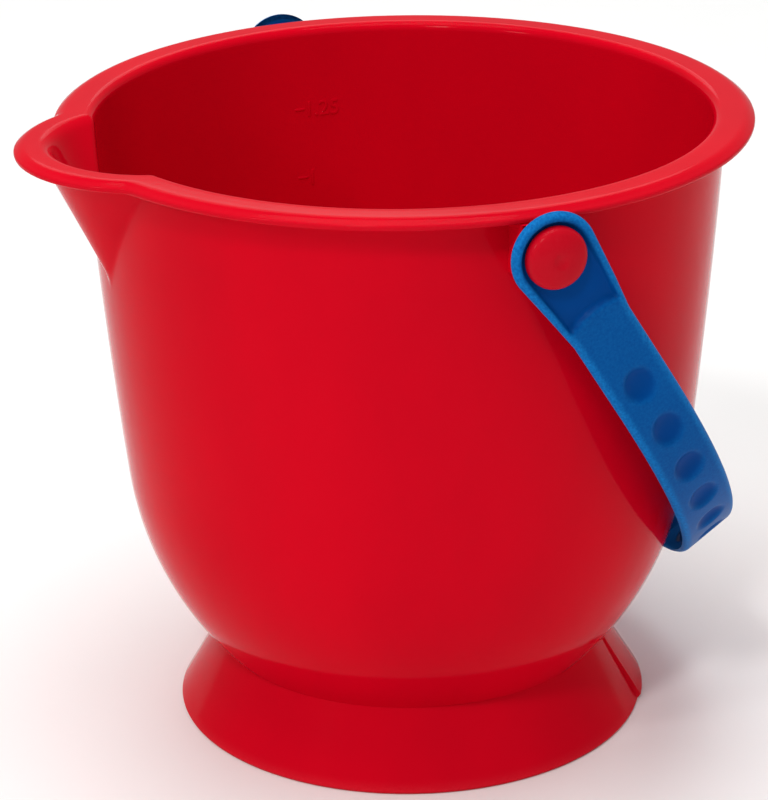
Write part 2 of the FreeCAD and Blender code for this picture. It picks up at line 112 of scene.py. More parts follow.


# %% [markdown]
# ## Moulded polypropylene
# Buckets of this kind are injection-moulded in polypropylene that is coloured in the mass. A
# polished mould gives a gloss that is nearly even, but never quite: the melt leaves faint flow
# marks a few centimetres long, the wall is a little wavy, and nested buckets rub fine upright
# lines into each other. Edges that meet the ground or a hand turn paler and duller. One recipe
# makes all of that, and each piece passes its own colours and its own amount of rubbing. On the
# handle the same input carries painted light instead: painted shade in the finger dimples and a
# painted highlight along the edges.

# %% The recipe for moulded plastic
def moulded_polypropylene(name, body_hex, deep_hex, rubbed_and_highlight_hex, gloss_roughness, gloss,
                          wave_mm):
    material = bpy.data.materials.new(name)
    material.use_nodes = True
    tree = material.node_tree
    tree.nodes.clear()
    place = node(material, "ShaderNodeTexCoord").outputs["Object"]

    # flow marks: slow clouds about 30 mm across, drawn out along the flow
    stretched = node(material, "ShaderNodeMapping", {"Vector": place, "Scale": (1.0, 1.0, 0.45)})
    flow = node(material, "ShaderNodeTexNoise",
                {"Vector": stretched.outputs[0], "Scale": 1.0 / (30 * MM), "Detail": 3.0})
    cloud = node(material, "ShaderNodeMapRange",
                 {"Value": flow.outputs[0], "From Min": 0.32, "From Max": 0.68})
    tinted = node(material, "ShaderNodeMix",
                  {0: cloud.outputs[0], 6: linear(deep_hex), 7: linear(body_hex)},
                  data_type="RGBA")

    # rubbing, and on the handle painted shade and highlight: the piece's own attribute for both,
    # mottled in patches of 0.6 mm
    rub_and_painted_light = node(material, "ShaderNodeAttribute", attribute_name="rub_and_painted_light")
    patches = node(material, "ShaderNodeTexNoise",
                   {"Vector": place, "Scale": 1.0 / (0.6 * MM), "Detail": 3.0, "Roughness": 0.6})
    broken = node(material, "ShaderNodeMapRange",
                  {"Value": patches.outputs[0], "From Min": 0.1, "From Max": 0.9})
    worn_and_painted_light = node(material, "ShaderNodeMath",
                {0: rub_and_painted_light.outputs["Fac"], 1: broken.outputs[0]}, operation="MULTIPLY")
    coloured = node(material, "ShaderNodeMix",
                    {0: worn_and_painted_light.outputs[0], 6: tinted.outputs[2], 7: linear(rubbed_and_highlight_hex)},
                    data_type="RGBA")

    # fine upright scuffs from nesting: noise squeezed 40 times along the height
    upright = node(material, "ShaderNodeMapping", {"Vector": place, "Scale": (1.0, 1.0, 0.025)})
    scuffs = node(material, "ShaderNodeTexNoise",
                  {"Vector": upright.outputs[0], "Scale": 1.0 / (0.9 * MM), "Detail": 2.0})
    lines = node(material, "ShaderNodeMapRange",
                 {"Value": scuffs.outputs[0], "From Min": 0.66, "From Max": 0.78,
                  "To Max": 0.10})
    dull = node(material, "ShaderNodeMath",
                {0: lines.outputs[0], 1: gloss_roughness}, operation="ADD")
    duller = node(material, "ShaderNodeMath",
                  {0: worn_and_painted_light.outputs[0], 1: 0.30, 2: dull.outputs[0]}, operation="MULTIPLY_ADD")

    # surface: the wall's slow waviness, then a grain far finer than a millimetre
    waves = node(material, "ShaderNodeTexNoise",
                 {"Vector": place, "Scale": 1.0 / (wave_mm * MM), "Detail": 1.0})
    wavy = node(material, "ShaderNodeBump",
                {"Height": waves.outputs[0], "Strength": 0.25, "Distance": 0.25 * MM})
    grain = node(material, "ShaderNodeTexNoise",
                 {"Vector": place, "Scale": 1.0 / (0.45 * MM), "Detail": 2.0})
    grained = node(material, "ShaderNodeBump",
                   {"Height": grain.outputs[0], "Strength": 0.06, "Distance": 0.05 * MM,
                    "Normal": wavy.outputs[0]})

    shader = node(material, "ShaderNodeBsdfPrincipled",
                  {"Base Color": coloured.outputs[2], "Roughness": duller.outputs[0],
                   "Normal": grained.outputs[0], "IOR": 1.49, "Metallic": 0.0,
                   "Specular IOR Level": gloss})
    node(material, "ShaderNodeOutputMaterial", {"Surface": shader.outputs[0]})
    print("material", name, len(tree.nodes), "nodes")
    return material


# %% The plastics of this bucket
bucket_red = moulded_polypropylene(
    "moulded_polypropylene_red", "#d0021c", "#c8021b", "#d83a46", 0.10, 0.028, 22.0)
pin_red = moulded_polypropylene(
    "moulded_polypropylene_red_pin", "#c4041c", "#b8031a", "#dc4a54", 0.20, 0.045, 7.0)
# on the handle the paler colour is a painted highlight on the edges and raised face, and the
# hollows keep the body colour as painted shade
handle_blue = moulded_polypropylene(
    "moulded_polypropylene_blue", "#00448c", "#003c82", "#1a84ce", 0.30, 0.025, 12.0)

# %% [markdown]
# ## The bucket's section
# A bowl is a turned shape, so one half section is enough to hold everything about it: the foot's
# hollow, the ring it stands on, the sharp crease between foot and bowl, the round shoulder, the
# nearly straight wall, the rolled rim, and the same way down again on the inside. The section is
# drawn as a pen would draw it: a vertex is extruded for a straight run and spun for an arc.

# %% The half section
RIM_HEIGHT, RIM_RADIUS, RIM_THICK = 146.0, 79.0, 2.4
WALL_TOP, WALL = 72.6, 2.8
INNER_TOP = WALL_TOP - WALL
SHOULDER = (65.6, 61.1)
CREASE = (45.8, 17.3)
FOOT = (55.3, 0.6)
FLOOR, CEILING = 26.0, 23.2
BOWL_ARC, BARREL_ARC = 78.0, 1500.0
FOOT_SKIN, OUTER_SKIN, RIM_SKIN, INNER_SKIN = 1, 2, 3, 4


def wall_radius(height, inside=0.0):
    """Radius of the wall at a height, from its two arcs, less a depth inside the skin."""
    if height >= SHOULDER[1]:
        low, high, radius = Vector(SHOULDER), Vector((WALL_TOP, RIM_HEIGHT - RIM_THICK)), BARREL_ARC
    else:
        low, high, radius = Vector(CREASE), Vector(SHOULDER), BOWL_ARC
    half = (high - low) / 2
    centre = low + half + Vector((-half.y, half.x)).normalized() * math.sqrt(
        radius ** 2 - half.length_squared)
    return centre.x + math.sqrt((radius - inside) ** 2 - (height - centre.y) ** 2)


SPOUT_TIP = 113.5
bucket = bmesh.new()
skin = bucket.verts.layers.int.new("skin")
pen = {"tip": bucket.verts.new((0.0, 0.0, CEILING - 0.4)), "skin": FOOT_SKIN}


def line_to(across, up, steps=1):
    """Straight run of the section to a new point."""
    start = pen["tip"].co.copy()
    for step in range(1, steps + 1):
        made = bmesh.ops.extrude_vert_indiv(bucket, verts=[pen["tip"]])["verts"][0]
        made.co = start.lerp(Vector((across, 0.0, up)), step / steps)
        made[skin] = pen["skin"]
        pen["tip"] = made


def arc_to(across, up, radius, bulge, steps):
    """Arc of the section to a new point; bulge +1 turns left on the way, -1 right."""
    start, end = pen["tip"].co.copy(), Vector((across, 0.0, up))
    half = (end - start) / 2
    rise = math.sqrt(max(radius ** 2 - half.length_squared, 0.0))
    left = Vector((-half.z, 0.0, half.x)).normalized()
    centre = start + half + left * rise * bulge
    turn = 2 * math.asin(min(half.length / radius, 1.0)) * bulge
    drawn = set(bucket.verts)
    made = bmesh.ops.spin(bucket, geom=[pen["tip"]], cent=centre, axis=(0, -1, 0),
                          angle=turn, steps=steps, use_merge=False)
    for vertex in set(bucket.verts) - drawn:
        vertex[skin] = pen["skin"]
    pen["tip"] = [g for g in made["geom_last"] if isinstance(g, bmesh.types.BMVert)][0]


# under the bowl, with the small stub where the melt came in, then the hollow foot
line_to(2.4, CEILING - 0.4)
line_to(2.9, CEILING)
line_to(40.6, CEILING, 6)
arc_to(42.4, CEILING - 1.8, 1.8, -1, 5)
line_to(42.4, 18.6, 2)
line_to(52.6, 0.7, 12)
arc_to(53.3, 0.0, 0.9, 1, 4)
line_to(FOOT[0] - 0.7, 0.0)
arc_to(FOOT[0], 0.7, 0.7, 1, 4)
line_to(CREASE[0], CREASE[1], 26)
pen["skin"] = OUTER_SKIN
arc_to(SHOULDER[0], SHOULDER[1], BOWL_ARC, 1, 30)
arc_to(wall_radius(SPOUT_TIP - 2), SPOUT_TIP - 2, BARREL_ARC, 1, 14)
arc_to(wall_radius(RIM_HEIGHT - RIM_THICK - 0.7), RIM_HEIGHT - RIM_THICK - 0.7, BARREL_ARC, 1, 44)
pen["skin"] = RIM_SKIN
arc_to(73.2, RIM_HEIGHT - RIM_THICK, 0.8, -1, 4)
line_to(78.5, RIM_HEIGHT - RIM_THICK, 4)
arc_to(79.0, RIM_HEIGHT - RIM_THICK + 0.5, 0.5, 1, 4)
arc_to(78.55, 145.1, 0.75, 1, 4)
arc_to(76.1, RIM_HEIGHT, 3.6, 1, 8)
line_to(71.9, RIM_HEIGHT, 4)
arc_to(wall_radius(RIM_HEIGHT - 2.1, WALL), RIM_HEIGHT - 2.1, 2.1, 1, 8)
pen["skin"] = INNER_SKIN
arc_to(wall_radius(SPOUT_TIP - 2, WALL), SPOUT_TIP - 2, BARREL_ARC - WALL, -1, 44)
arc_to(wall_radius(SHOULDER[1], WALL), SHOULDER[1], BARREL_ARC - WALL, -1, 14)
arc_to(wall_radius(FLOOR + 1.6, WALL), FLOOR + 1.6, BOWL_ARC - WALL, -1, 24)
arc_to(wall_radius(FLOOR + 1.6, WALL) - 3.2, FLOOR, 4.2, -1, 5)
line_to(0.0, FLOOR, 8)
print("section:", len(bucket.verts), "points")

# %% [markdown]
# ## Spinning the bowl and pushing out the spout
# Half a turn of the section, mirrored, gives the whole bucket. The steps of the spin are fine
# where something happens (the spout, the ear bosses, the edge of the foot panel) and wide where
# the bowl is plain. Spout, bosses and panel are then all made with one idea: seen from the axis,
# each is only a place where the wall stands further out, so every vertex is moved outwards to
# the distance that the shape has in its direction. Nothing has to be cut or joined.

# %% Half a turn in uneven steps
SECTORS = [(22.0, 66), (61.0, 24), (14.0, 40), (50.0, 20), (2.0, 8), (31.0, 14)]
strip = [g for g in bucket.verts] + [g for g in bucket.edges]
for degrees, steps in SECTORS:
    spun = bmesh.ops.spin(bucket, geom=strip, cent=(0, 0, 0), axis=(0, 0, 1),
                          angle=math.radians(degrees), steps=steps, use_merge=False)
    strip = spun["geom_last"]
bmesh.ops.remove_doubles(bucket, verts=bucket.verts, dist=0.0005)
bmesh.ops.rotate(bucket, cent=(0, 0, 0), matrix=Matrix.Rotation(math.pi, 3, "Z"),
                 verts=bucket.verts)
print("half bowl:", len(bucket.faces), "faces, skins",
      sorted({v[skin] for v in bucket.verts}))

# %% How far out each shape stands
BOSS_FACE, BOSS_HALF, BOSS_LOW = 79.2, 5.8, 131.0
PANEL_HALF, PANEL_LOW, PANEL_TOP = 32.0, 0.9, 16.4


def ring_reach(angle, centre, radius):
    """Distance from the axis to the far side of a circle centred on the spout's side."""
    inside = radius ** 2 - (centre * math.sin(angle)) ** 2
    if inside <= 0.0 or math.cos(angle) <= 0.0:
        return 0.0
    return centre * math.cos(angle) + math.sqrt(inside)


def cone_reach(angle, height, tip, top, top_height):
    """Reach of a slanting cone given by (centre, radius) at its tip and at its top."""
    share = (height - SPOUT_TIP) / (top_height - SPOUT_TIP)
    if share <= 0.0:
        return 0.0
    return ring_reach(angle, tip[0] + (top[0] - tip[0]) * share,
                      tip[1] + (top[1] - tip[1]) * share)


def spout_outside(angle, height):
    return cone_reach(angle, height, (69.3, 0.6), (57.5, 27.4), 145.0)


def spout_inside(angle, height):
    return cone_reach(angle, height, (66.6, 0.4), (57.5, 25.0), 146.5)


LIP_CENTRE, LIP_RADIUS, BLEND = 58.4, 31.5, 6.0
blend_x = ((RIM_RADIUS + BLEND) ** 2 + LIP_CENTRE ** 2 - (LIP_RADIUS + BLEND) ** 2) / (
    2 * LIP_CENTRE)
blend_y = math.sqrt((RIM_RADIUS + BLEND) ** 2 - blend_x ** 2)
rim_touch = math.atan2(blend_y, blend_x)
lip_share = LIP_RADIUS / (LIP_RADIUS + BLEND)
lip_touch = math.atan2(blend_y * lip_share, LIP_CENTRE + (blend_x - LIP_CENTRE) * lip_share)


def rim_outline(angle):
    """Reach of the rim's edge: the round rim, the spout's lip and the hollow between them."""
    angle = abs(angle)
    if angle >= rim_touch:
        return RIM_RADIUS
    if angle <= lip_touch:
        return ring_reach(angle, LIP_CENTRE, LIP_RADIUS)
    along = blend_x * math.cos(angle) + blend_y * math.sin(angle)
    aside = blend_x * math.sin(angle) - blend_y * math.cos(angle)
    return along - math.sqrt(max(BLEND ** 2 - aside ** 2, 0.0))


def boss_reach(angle, height):
    """Reach of the flat ear boss, with softly drafted sides."""
    aside = abs(math.pi / 2 - abs(angle))
    side = 1.0 - smoothstep(BOSS_HALF - 0.2, BOSS_HALF + 0.5, 76.0 * math.tan(min(aside, 0.5)))
    rise = smoothstep(BOSS_LOW - 0.5, BOSS_LOW + 0.3, height)
    return BOSS_FACE / math.cos(aside) * side * rise if aside < 0.5 else 0.0


def panel_step(angle, height):
    """How far the foot's panel stands proud, round the back of the foot."""
    aside = math.degrees(math.pi - abs(angle))
    edge = 1.0 - smoothstep(PANEL_HALF - 0.12, PANEL_HALF + 0.12, aside)
    band = smoothstep(PANEL_LOW - 0.4, PANEL_LOW + 0.2, height) * (
        1.0 - smoothstep(PANEL_TOP - 0.3, PANEL_TOP + 0.3, height))
    share = (height - PANEL_LOW) / (PANEL_TOP - PANEL_LOW)
    return (1.1 - 0.65 * share) * edge * band


# %% Moving every vertex out to its reach
EDGE_BAND = 3.0          # outermost part of the rim, which moves with its edge as one
ROLL, FILLET = 2.11, 0.6  # the roll inside the rim, and the fillet under its flange
SOFT_OUTSIDE, SOFT_INSIDE = 0.5, 0.25


def wall_outside(reach, angle, height):
    return soft_max(reach, spout_outside(angle, height), SOFT_OUTSIDE)


def wall_inside(reach, angle, height):
    return soft_max(reach, spout_inside(angle, height), SOFT_INSIDE)


def on_foot_outside(reach, height):
    """True on the foot's outer cone, false in its hollow."""
    return reach > 44.0 + (18.0 - height) * 0.3 and reach > 54.9 - (height - 0.7) * 0.6


def pushed_rim(reach, angle, height):
    """A rim vertex keeps its place between the wall and the rim's edge."""
    edge = rim_outline(angle)
    if reach > RIM_RADIUS - EDGE_BAND:
        return edge - (RIM_RADIUS - reach)
    if height < RIM_HEIGHT - 1.0 and not (height > RIM_HEIGHT - 2.2 and reach < WALL_TOP):
        wall = max(wall_outside(WALL_TOP, angle, height), boss_reach(angle, height))
        if reach < WALL_TOP + FILLET + 0.01:
            return wall + reach - WALL_TOP
        start, inner = WALL_TOP + FILLET, wall + FILLET
    else:
        wall = wall_inside(INNER_TOP, angle, height)
        start, inner = INNER_TOP + ROLL, wall + ROLL
        if reach <= start and height > RIM_HEIGHT - 2.2 and reach < WALL_TOP:
            return wall + reach - INNER_TOP
    share = (reach - start) / (RIM_RADIUS - EDGE_BAND - start)
    return inner + (edge - EDGE_BAND - inner) * min(max(share, 0.0), 1.0)


def pushed(vertex):
    """The vertex's new distance from the axis."""
    reach = math.hypot(vertex.co.x, vertex.co.y)
    angle = math.atan2(vertex.co.y, -vertex.co.x)
    height = vertex.co.z
    if vertex[skin] == FOOT_SKIN:
        return reach + (panel_step(angle, height) if on_foot_outside(reach, height) else 0.0)
    if vertex[skin] == INNER_SKIN:
        return wall_inside(reach, angle, height)
    if vertex[skin] == OUTER_SKIN:
        return max(wall_outside(reach, angle, height), boss_reach(angle, height))
    return pushed_rim(reach, angle, height)


for vertex in bucket.verts:
    flat = Vector((vertex.co.x, vertex.co.y, 0.0))
    if flat.length > 1.0:
        flat *= pushed(vertex) / flat.length
        vertex.co.x, vertex.co.y = flat.x, flat.y
bmesh.ops.mirror(bucket, geom=bucket.verts[:] + bucket.edges[:] + bucket.faces[:],
                 matrix=Matrix.Identity(4), merge_dist=0.001, axis="Y")

# %% [markdown]
# ## Where the plastic gets rubbed
# Wear belongs to places, not to chance: the ring the bucket stands on and the rolled edge of the
# rim touch the world most. Each vertex carries a number from 0 to 1 for that, which the material
# reads as an attribute.

# %% Rubbed places of the bucket
rub_and_painted_light = bucket.verts.layers.float.new("rub_and_painted_light")
for vertex in bucket.verts:
    ground = 1.0 - smoothstep(0.2, 3.0, vertex.co.z)
    edge_gap = abs(math.hypot(vertex.co.x, vertex.co.y)
                   - rim_outline(math.atan2(vertex.co.y, -vertex.co.x)))
    rolled = (1.0 - smoothstep(0.3, 1.6, edge_gap)) * smoothstep(143.0, 144.5, vertex.co.z)
    vertex[rub_and_painted_light] = max(0.4 * ground, 0.15 * rolled)
bowl = finished(bucket, "bucket_moulding", bucket_red)
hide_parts("bucket_body")
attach(bowl, "bucket")

# %% [markdown]
# ## The volume scale inside
# The wall opposite the near ear carries a short raised bar for every quarter litre, with its
# number beside it. Bars are small cubes with rounded edges. The numbers start as a text object,
# because a font already holds good curves. The text is made a mesh first, and then every point
# is laid on the wall, which leans out a little and curves, so the number follows it.

# %% Bars and numbers on the inner wall
MARKS = {"0.25": 51.2, "0.5": 71.5, "0.75": 90.4, "1": 108.3, "1.25": 125.5}
BAR_LONG, BAR_HIGH, DIGIT_HIGH, PROUD = 2.7, 0.7, 3.7, 0.11


def lay_on_wall(bm, height):
    """Bend a flat relief (x along, y up, z proud) onto the far side of the inner wall."""
    for vertex in bm.verts:
        along, up, proud = vertex.co
        radius = wall_radius(height + up, WALL) - proud
        turn = along / wall_radius(height, WALL)
        vertex.co = (radius * math.sin(turn), radius * math.cos(turn), height + up)


scale = bmesh.new()
for number, height in MARKS.items():
    bar = bmesh.new()
    bmesh.ops.create_cube(bar, size=1.0)
    bmesh.ops.scale(bar, vec=(BAR_LONG, BAR_HIGH, 2 * PROUD), verts=bar.verts)
    bmesh.ops.bevel(bar, geom=bar.edges[:], offset=0.12, segments=2, profile=0.5,
                    affect="EDGES", material=-1)
    bmesh.ops.translate(bar, vec=(0, BAR_HIGH / 2, 0), verts=bar.verts)
    words = bpy.data.curves.new("number_" + number.replace(".", "_"), "FONT")
    words.body = number
    words.size = DIGIT_HIGH / 0.70
    words.extrude = PROUD
    words.bevel_depth = 0.05
    words.align_y = "CENTER"
    text = bpy.data.objects.new(words.name, words)
    bpy.context.scene.collection.objects.link(text)
    shape = bpy.data.meshes.new_from_object(text.evaluated_get(
        bpy.context.evaluated_depsgraph_get()))
    bpy.data.objects.remove(text)
    digits = bmesh.new()
    digits.from_mesh(shape)
    left = min(v.co.x for v in digits.verts)
    middle = (min(v.co.y for v in digits.verts) + max(v.co.y for v in digits.verts)) / 2
    bmesh.ops.translate(digits, vec=(BAR_LONG / 2 + 0.7 - left, BAR_HIGH / 2 - middle, 0),
                        verts=digits.verts)
    for relief in (bar, digits):
        lay_on_wall(relief, height)
        made = bpy.data.meshes.new("relief")
        relief.to_mesh(made)
        relief.free()
        scale.from_mesh(made)
        bpy.data.meshes.remove(made)
volume_scale = finished(scale, "volume_scale", bucket_red, 50.0)
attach(volume_scale, "bucket")

# %% [markdown]
# ## The pivot pins
# Each pin is pushed through the ear into a blind socket of the bucket. What shows is a domed
# head with a shallow dimple where the mould's ejector stood. It is a section spun about the
# pin's own axis, like a knob on a lathe.

# %% A pin and its mirror image
PIVOT_HEIGHT, HEAD_RADIUS, SHANK_RADIUS = 137.0, 6.8, 3.5
for side, sign in (("left", -1), ("right", 1)):
    knob = bmesh.new()
    rub_and_painted_light = knob.verts.layers.float.new("rub_and_painted_light")
    tip = knob.verts.new((0.0, 0.0, -6.6))
    stations = [(2.9, -6.6), (SHANK_RADIUS, -6.0), (SHANK_RADIUS, 3.1), (HEAD_RADIUS - 0.4, 3.1),
                (HEAD_RADIUS, 3.5), (HEAD_RADIUS, 4.1)]
    for across, up in stations:
        tip_next = bmesh.ops.extrude_vert_indiv(knob, verts=[tip])["verts"][0]
        tip_next.co = (across, 0.0, up)
        tip = tip_next
    for centre, degrees, steps in (((4.75, 0, 4.1), 67.0, 10), ((0.83, 0, -5.25), 18.6, 8)):
        made = bmesh.ops.spin(knob, geom=[tip], cent=centre, axis=(0, -1, 0),
                              angle=math.radians(degrees), steps=steps, use_merge=False)
        tip = [g for g in made["geom_last"] if isinstance(g, bmesh.types.BMVert)][0]
    end = tip.co.copy()
    for share in (0.75, 0.5, 0.25, 0.0):
        tip_next = bmesh.ops.extrude_vert_indiv(knob, verts=[tip])["verts"][0]
        tip_next.co = (end.x * share, 0.0, end.z - 0.32 * (1.0 - share ** 2))
        tip = tip_next
    bmesh.ops.spin(knob, geom=knob.verts[:] + knob.edges[:], cent=(0, 0, 0), axis=(0, 0, 1),
                   angle=2 * math.pi, steps=96, use_merge=True)
    for vertex in knob.verts:
        vertex[rub_and_painted_light] = 0.08 * smoothstep(4.0, 5.4, vertex.co.z)
    bmesh.ops.rotate(knob, cent=(0, 0, 0), verts=knob.verts,
                     matrix=Matrix.Rotation(-sign * math.pi / 2, 3, "X"))
    bmesh.ops.translate(knob, vec=(0, sign * BOSS_FACE, PIVOT_HEIGHT), verts=knob.verts)
    pin = finished(knob, "pivot_pin_head_" + side, pin_red)
    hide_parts("pivot_pin_" + side)
    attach(pin, "bucket")

# %% [markdown]
# ## The carry handle, first flat
# The handle is a flat strap that ends in two round ears and is bent into a hoop. It is easiest
# to make flat, as a sheet seen from outside, and to bend it last. Its edge loops run like the
# lanes of a running track: along the strap, round the ear and back. So the rounded edge and the
# ear's raised border each follow a lane, and no loop is ever cut by them.

# %% Measures of the strap and the ears
HALF_WIDTH, HALF_THICK, EDGE_ROUND = 7.3, 2.1, 1.5
EAR_RADIUS, EAR_DOWN, HOLE_RADIUS = 9.7, 21.0, SHANK_RADIUS + 0.06
ARM_TOP, ARM_END = Vector((81.55, -12.0)), Vector((78.54, -41.06))
SHOULDER_ARC, CROWN_DEPTH = 89.7, 119.85
inward = Vector((ARM_END.y - ARM_TOP.y, ARM_TOP.x - ARM_END.x)).normalized()
shoulder_centre = ARM_END + inward * SHOULDER_ARC
gap = SHOULDER_ARC - (shoulder_centre.y + CROWN_DEPTH)
crown_radius = SHOULDER_ARC - (shoulder_centre.x ** 2 + gap ** 2) / (2 * gap)
crown_centre = Vector((0.0, crown_radius - CROWN_DEPTH))
meet = math.atan2(crown_centre.y - shoulder_centre.y, crown_centre.x - shoulder_centre.x)
lean = math.atan2(-inward.y, -inward.x)
crown_run = crown_radius * (meet + math.pi / 2)
shoulder_run = SHOULDER_ARC * (lean - meet)
arm_run = (ARM_TOP - ARM_END).length
PIVOT_RUN = crown_run + shoulder_run + arm_run - ARM_TOP.y
print("crown arc %.1f mm, half strap %.1f mm" % (crown_radius, PIVOT_RUN))


def middle_line(run):
    """Point of the bent strap's middle line and its outward direction, from the crown up."""
    if run < crown_run:
        angle = run / crown_radius - math.pi / 2
        outward = Vector((math.cos(angle), math.sin(angle)))
        return crown_centre + outward * crown_radius, outward
    if run < crown_run + shoulder_run:
        angle = meet + (run - crown_run) / SHOULDER_ARC
        outward = Vector((math.cos(angle), math.sin(angle)))
        return shoulder_centre + outward * SHOULDER_ARC, outward
    past = run - crown_run - shoulder_run
    tilt = Vector((math.cos(lean), math.sin(lean)))
    if past < arm_run:
        blend = smoothstep(arm_run - 2.0, arm_run, past) * 0.5
        return ARM_END.lerp(ARM_TOP, past / arm_run), tilt.lerp(Vector((1.0, 0.0)), blend)
    up = past - arm_run
    blend = 0.5 + 0.5 * smoothstep(0.0, 2.0, up)
    return ARM_TOP + Vector((0.0, up)), tilt.lerp(Vector((1.0, 0.0)), blend).normalized()


# %% One half of the flat sheet
lane_insets = [EDGE_ROUND * (1 - math.cos(math.radians(a))) for a in (0, 18, 36, 54, 72, 90)]
while lane_insets[-1] < EAR_RADIUS - HOLE_RADIUS - 0.2:
    lane_insets.append(lane_insets[-1] + 0.3569)
lane_insets[-1] = EAR_RADIUS - HOLE_RADIUS
LEG_STEPS, HEAD_STEPS, CORE_STEPS, STRAP_STEPS = 46, 60, 8, 330


def tangent_angle(radius, half_foot):
    """Where the ear's side touches a circle of that radius round the pivot."""
    return math.atan2(-EAR_DOWN, half_foot) + math.acos(
        radius / math.hypot(EAR_DOWN, half_foot))


def lane_point(inset, station):
    """Point of a lane, from the strap's right edge round the ear to its left edge."""
    radius, half_foot = EAR_RADIUS - inset, HALF_WIDTH - inset
    touch = tangent_angle(radius, half_foot)
    side = 1.0 if station <= LEG_STEPS + HEAD_STEPS / 2 else -1.0
    step = station if side > 0 else 2 * LEG_STEPS + HEAD_STEPS - station
    if step <= LEG_STEPS:
        top = Vector((radius * math.cos(touch), radius * math.sin(touch)))
        place = Vector((half_foot, -EAR_DOWN)).lerp(top, step / LEG_STEPS)
    else:
        angle = touch + (math.pi / 2 - touch) * (step - LEG_STEPS) / (HEAD_STEPS / 2)
        place = Vector((radius * math.cos(angle), radius * math.sin(angle)))
    return side * place.x, place.y


def grid_indices(vertex, wide, long):
    """Column and row of a vertex in a grid made from -1 to 1."""
    return (round((vertex.co.x + 1) / 2 * wide), round((vertex.co.y + 1) / 2 * long))


def new_grid(wide, long):
    grid = bmesh.new()
    bmesh.ops.create_grid(grid, x_segments=wide, y_segments=long, size=1.0)
    return grid


def poured(target, part):
    """Add one bmesh to another."""
    mesh = bpy.data.meshes.new("part")
    part.to_mesh(mesh)
    part.free()
    target.from_mesh(mesh)
    bpy.data.meshes.remove(mesh)


sheet = bmesh.new()
stations, last_lane = 2 * LEG_STEPS + HEAD_STEPS, len(lane_insets) - 1
ear = new_grid(last_lane, stations)
for vertex in ear.verts:
    lane, station = grid_indices(vertex, last_lane, stations)
    across, up = lane_point(lane_insets[lane], station)
    vertex.co = (across, PIVOT_RUN + up, 0.0)
poured(sheet, ear)

core = new_grid(CORE_STEPS, LEG_STEPS)
for vertex in core.verts:
    column, row = grid_indices(vertex, CORE_STEPS, LEG_STEPS)
    reach, up = lane_point(lane_insets[-1], row)
    share, climb = 2.0 * column / CORE_STEPS - 1.0, (row / LEG_STEPS) ** 2
    full_swing = math.pi / 2 + tangent_angle(HOLE_RADIUS, HALF_WIDTH - lane_insets[-1])
    swing = share * full_swing
    across = reach * (share * (1 - climb) + math.sin(swing) / math.sin(full_swing) * climb)
    sag = HOLE_RADIUS * (math.cos(swing) - math.cos(full_swing)) * climb
    vertex.co = (across, PIVOT_RUN + up - sag, 0.0)
poured(sheet, core)

columns = ([HALF_WIDTH - inset for inset in lane_insets]
           + [(HALF_WIDTH - lane_insets[-1]) * (1 - 2.0 * i / CORE_STEPS)
              for i in range(1, CORE_STEPS)]
           + [inset - HALF_WIDTH for inset in reversed(lane_insets)])
strap = new_grid(len(columns) - 1, STRAP_STEPS)
for vertex in strap.verts:
    column, row = grid_indices(vertex, len(columns) - 1, STRAP_STEPS)
    vertex.co = (columns[column], (PIVOT_RUN - EAR_DOWN) * row / STRAP_STEPS, 0.0)
poured(sheet, strap)
bmesh.ops.remove_doubles(sheet, verts=sheet.verts, dist=0.004)
bmesh.ops.mirror(sheet, geom=sheet.verts[:] + sheet.edges[:] + sheet.faces[:],
                 matrix=Matrix.Identity(4), merge_dist=0.004, axis="Y")
bmesh.ops.remove_doubles(sheet, verts=sheet.verts, dist=0.004)
bmesh.ops.recalc_face_normals(sheet, faces=sheet.faces)
rims = [e for e in sheet.edges if e.is_boundary]
print("flat sheet:", len(sheet.faces), "faces,", len(rims), "border edges")

# %% [markdown]
# ## Relief, thickness and bend
# The relief is a height for each point of the sheet: the edge falls away in a quarter round, the
# ear's floor lies lower inside its border, a tongue-shaped step leads up to the strap, and oval
# finger dimples follow each other all round the hoop. A copy of the sheet, turned over, is the
# inner face, and the two are joined by bridging their borders.
#
# Known fault: only the outer face is left in the finished strap, as its printed counts of faces
# and open edges show, so it has no thickness. The likely cause, not tested, is that the layer
# of painted shade and highlight is added after the set of inner vertices is made. That leaves
# the set out of date, both faces get the outer heights, and the welding of doubles makes them one.

# %% Heights of the outer face
FLOOR_DEPTH, FLOOR_RADIUS, FLOOR_HALF, TONGUE_DOWN, TONGUE_ARC = 1.6, 7.7, 6.5, 17.0, 17.0
DIMPLE_PITCH, DIMPLES = 14.9, 9
DIMPLE_ROUND, DIMPLE_DEEP, DIMPLE_WIDE, DIMPLE_LONG = 3.0, 1.5, 4.5, 5.54
ear_touch = tangent_angle(EAR_RADIUS, HALF_WIDTH)
floor_touch = math.atan2(-TONGUE_DOWN, FLOOR_HALF) + math.acos(
    FLOOR_RADIUS / math.hypot(TONGUE_DOWN, FLOOR_HALF))
tongue_centre = Vector((0.0, -TONGUE_DOWN - math.sqrt(TONGUE_ARC ** 2 - FLOOR_HALF ** 2)))


def depth_in_drop(across, up, radius, touch):
    """Distance inwards from the edge of a round head with straight sides below it."""
    if math.atan2(up, abs(across)) > touch:
        return radius - math.hypot(across, up)
    return radius - (abs(across) * math.cos(touch) + up * math.sin(touch))


def edge_inset(across, run):
    """Distance inwards from the edge of the whole flat handle."""
    up = abs(run) - PIVOT_RUN
    if up < -EAR_DOWN:
        return HALF_WIDTH - abs(across)
    return depth_in_drop(across, up, EAR_RADIUS, ear_touch)


def edge_fall(inset):
    """Drop of the rounded edge."""
    short = EDGE_ROUND - min(max(inset, 0.0), EDGE_ROUND)
    return EDGE_ROUND - math.sqrt(EDGE_ROUND ** 2 - short ** 2)


